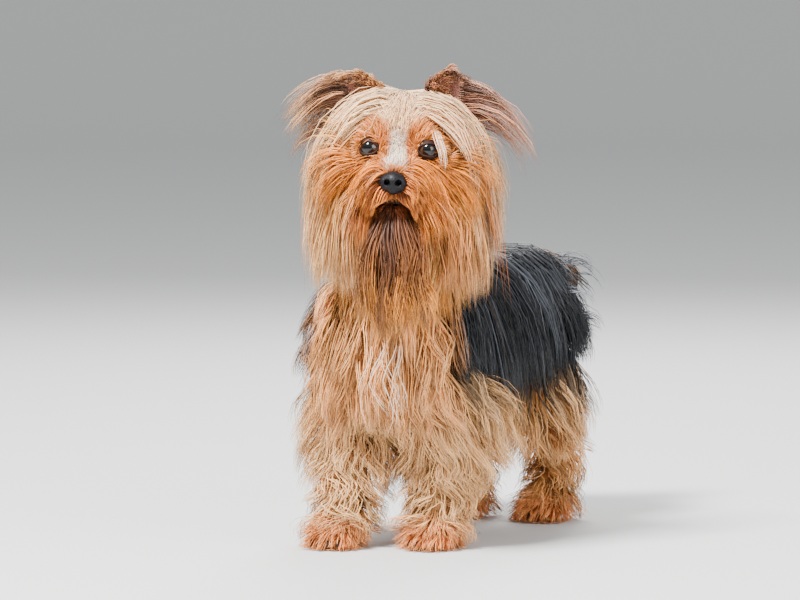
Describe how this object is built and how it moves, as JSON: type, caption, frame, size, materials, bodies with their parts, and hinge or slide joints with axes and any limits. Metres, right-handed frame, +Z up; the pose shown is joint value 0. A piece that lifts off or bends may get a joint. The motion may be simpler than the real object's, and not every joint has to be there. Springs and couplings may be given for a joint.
{
  "type": "yorkshire terrier",
  "caption": "Still, life-size model of a small long-coated terrier standing square on four paws, head raised and turned to its left.",
  "frame": {"origin": "on the floor, under the middle of the whole model's box", "axes": "+Z up, the dog's body faces -Y, +X is the dog's left"},
  "size_m": [0.2034, 0.3708, 0.3507],
  "materials": {
    "coat_cream": "matt",
    "coat_rust": "matt",
    "coat_steel": "satin",
    "nose_leather": "satin",
    "eye": "gloss"
  },
  "bodies": {
    "root": {"head": "coat_cream", "jaw": "coat_rust", "nose": "nose_leather", "eye_left": "eye", "eye_right": "eye", "ear_left": "coat_rust", "ear_right": "coat_rust", "neck": "coat_cream", "chest": "coat_cream", "torso": "coat_steel", "tail": "coat_steel", "fore_leg_left": "coat_cream", "fore_leg_right": "coat_cream", "hind_leg_left": "coat_cream", "hind_leg_right": "coat_cream", "paw_fore_left": "coat_rust", "paw_fore_right": "coat_rust", "paw_hind_left": "coat_rust", "paw_hind_right": "coat_rust"}
  },
  "joints": []
}
